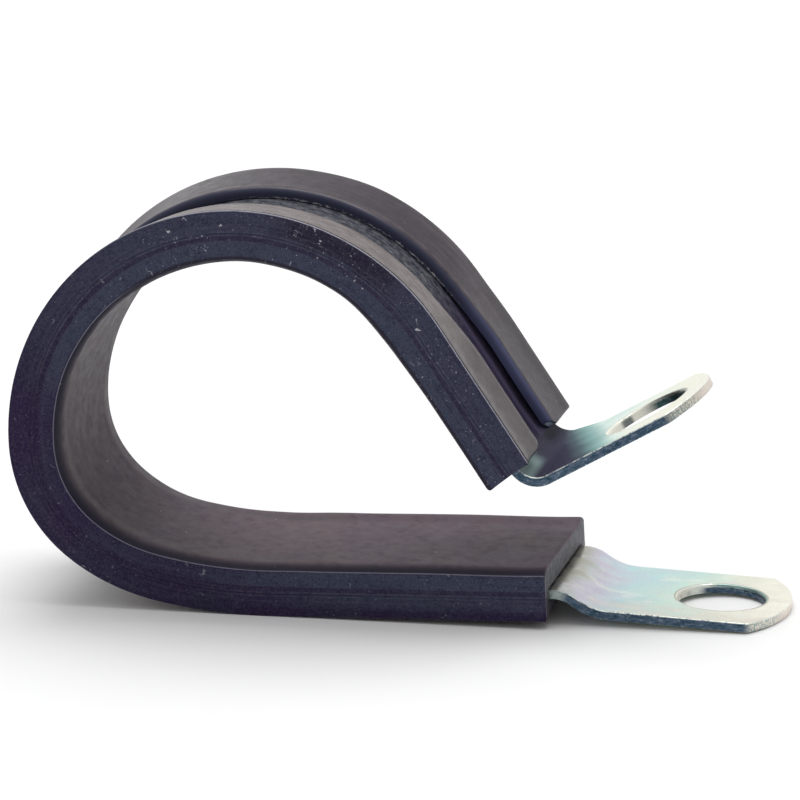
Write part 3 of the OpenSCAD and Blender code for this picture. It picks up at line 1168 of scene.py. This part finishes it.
def make_blank():
    """The flat blank, its outer loop as (point numbers, places, inward mitres), and
    each hole as (its place along the band, point numbers, directions)."""
    edge, columns = tab_edge(), grid_columns()
    outer = outer_loop(edge, columns)
    rim, mitre = inset_loop(outer, EDGE_ROUND)
    blank = Blank()
    rim_ids = blank.add(rim)
    upper_first = len(edge) + len(columns) - 2
    lower_rim = rim_ids[: len(edge)]
    upper_rim = rim_ids[upper_first : upper_first + len(edge)]

    # The grid's outer columns are the rim's own points.
    low_ids = rim_ids[len(edge) - 1 : upper_first + 1]
    high_ids = [lower_rim[0]] + rim_ids[: upper_first + len(edge) - 2 : -1]
    across = np.linspace(-BAND_W / 2, BAND_W / 2, GRID_ACROSS + 1)[1:-1]
    rows = []
    for s, low_id, high_id in zip(columns, low_ids, high_ids):
        rows.append([low_id] + blank.add([(s, a) for a in across]) + [high_id])
    for row, following in zip(rows, rows[1:]):
        blank.join(following, row)

    holes = []
    lower_ring = lower_rim + rows[0][1:-1]
    upper_ring = upper_rim + rows[-1][-2:0:-1]
    for hole_s, ring in ((LOWER_HOLE_S, lower_ring), (UPPER_HOLE_S, upper_ring)):
        holes.append((hole_s, *blank.add_patch(hole_s, ring)))
    return blank, (rim_ids, outer, mitre), holes


def make_band(materials):
    blank, (rim_ids, outer, mitre), holes = make_blank()
    sheet = Sheet(blank)
    plain_rim = (EDGE_ROUND, EDGE_ROUND)
    sheet.wall(rim_ids, outer, -mitre, False, wall_profile(plain_rim, plain_rim))
    for hole_s, ids, rays in holes:
        # Each hole was punched from the face that looks up when the clip lies flat.
        rims = (HOLE_RIM, (HOLE_RIM[0], EDGE_ROUND))
        if hole_s > route.length / 2:
            rims = rims[::-1]
        sheet.wall(ids, rays * HOLE_R + (hole_s, 0), -rays, True, wall_profile(*rims))

    strip = np.concatenate(sheet.rows)
    along, across, height = strip.T
    # The upper bend is rounder at its far edge than at its near one.
    bend_middle = LINER_END + total_length(UPPER_BEND) / 2
    far_share = across / BAND_W + 0.5
    rounder = BEND_EASE * far_share * hump(along, bend_middle, BEND_EASE_REACH)
    points = route.place(along, across, height - rounder)
    return make_object("zinc_band", points, sheet.faces, sheet.zones, materials, strip)


# ---- The pieces ------------------------------------------------------------

rubber = [rubber_side(), rubber_bore(), rubber_lip(), rubber_cut(), rubber_slot()]
steel = [zinc_face(), zinc_sheared()]

liner = make_liner(rubber)
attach(liner, "root")
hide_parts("liner")

band = make_band(steel)
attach(band, "root")
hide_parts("band")

# ---- Floor, light and camera -----------------------------------------------

# The clip rests on the tip of its lower tab and on this point under its lower leg.
REST_X, REST_Z = -34.36, -1.655
FLOOR_REACH = 1.5  # metres
floor_slope = math.atan2(-REST_Z, HOLE_TO_TIP - REST_X)


def make_floor():
    """A wide flat sheet that the clip rests on, from under its lower leg to its tip."""
    corners = [(-1, -1), (1, -1), (1, 1), (-1, 1)]
    mesh = bpy.data.meshes.new("floor")
    mesh.from_pydata([(x * FLOOR_REACH, y * FLOOR_REACH, 0) for x, y in corners], [], [range(4)])
    floor = add_object("floor", mesh)
    under_leg = Matrix.Translation((REST_X * MM, 0, REST_Z * MM))
    floor.matrix_world = under_leg @ Matrix.Rotation(-floor_slope, 4, "Y")
    return floor


floor = make_floor()
floor.data.materials.append(floor_white())


WORLD_DIM = 0.35
WORLD_BRIGHT = 0.75
BRIGHT_SIDE = Vector((-0.45, 0.8, 0.4)).normalized()


def make_world():
    """A pale studio, brighter behind the clip and to its left than in front. Seen by
    the camera it is white, and gloss sees that white near the horizon."""
    world = bpy.data.worlds.new("studio")
    world.use_nodes = True
    sky = Nodes(world.node_tree)
    direction = sky.node("ShaderNodeTexCoord").outputs["Generated"]
    towards = sky.node("ShaderNodeVectorMath", direction, BRIGHT_SIDE, operation="DOT_PRODUCT")
    level = sky.step(towards.outputs["Value"], -0.9, 0.9, WORLD_DIM, WORLD_BRIGHT)
    height = sky.node("ShaderNodeSeparateXYZ", direction).outputs[2]
    horizon = sky.step(height, 0.12, 0.5, 1.0, 0.0)
    path = sky.node("ShaderNodeLightPath").outputs
    shiny = sky.most(path["Is Glossy Ray"], path["Is Transmission Ray"])
    shown = sky.most(sky.times(shiny, horizon), path["Is Camera Ray"])
    mixed = sky.node("ShaderNodeMix", shown)
    sky.feed(mixed.inputs[2], level)
    sky.feed(mixed.inputs[3], 1.0)
    background = sky.tree.nodes["Background"]
    sky.feed(background.inputs["Strength"], mixed.outputs[0])
    sky.feed(background.inputs["Color"], (1, 1, 1, 1))
    bpy.context.scene.world = world


make_world()


def make_lamp(name, place, target, size, watts):
    lamp = bpy.data.lights.new(name, "AREA")
    lamp.shape = "SQUARE"
    lamp.size = size * MM
    lamp.energy = watts
    thing = add_object(name, lamp)
    place, target = Vector(place) * MM, Vector(target) * MM
    thing.location = place
    thing.rotation_euler = (target - place).to_track_quat("-Z", "Y").to_euler()


middle = ((cad_box[0] + cad_box[1]) / 2) / MM
make_lamp("top_lamp", place=(-60, 120, 520), target=middle, size=420, watts=2.0)

CAMERA_AZIMUTH = math.radians(12.896)
CAMERA_ELEVATION = math.radians(15.167)
CAMERA_ROLL = math.radians(1.275)
CAMERA_AIM = Vector((-24.781, 0, 13.801))
CAMERA_DISTANCE = 425.48
CAMERA_LENS = 257.11


def make_camera():
    """The camera on its line of sight, rolled about it."""
    flat = Vector((math.sin(CAMERA_AZIMUTH), -math.cos(CAMERA_AZIMUTH), 0))
    back = flat * math.cos(CAMERA_ELEVATION) + Vector((0, 0, math.sin(CAMERA_ELEVATION)))
    level = Vector((math.cos(CAMERA_AZIMUTH), math.sin(CAMERA_AZIMUTH), 0))
    up = back.cross(level)
    right = level * math.cos(CAMERA_ROLL) + up * math.sin(CAMERA_ROLL)
    up = back.cross(right)
    turn = Matrix((right, up, back)).transposed().to_4x4()
    camera = add_object("camera", bpy.data.cameras.new("camera"))
    camera.data.lens = CAMERA_LENS
    camera.data.sensor_width = 36
    camera.data.clip_start = 0.05
    camera.data.clip_end = 10
    place = (CAMERA_AIM + back * CAMERA_DISTANCE) * MM
    camera.matrix_world = Matrix.Translation(place) @ turn
    bpy.context.scene.camera = camera


make_camera()
bpy.context.scene.view_settings.view_transform = "Standard"
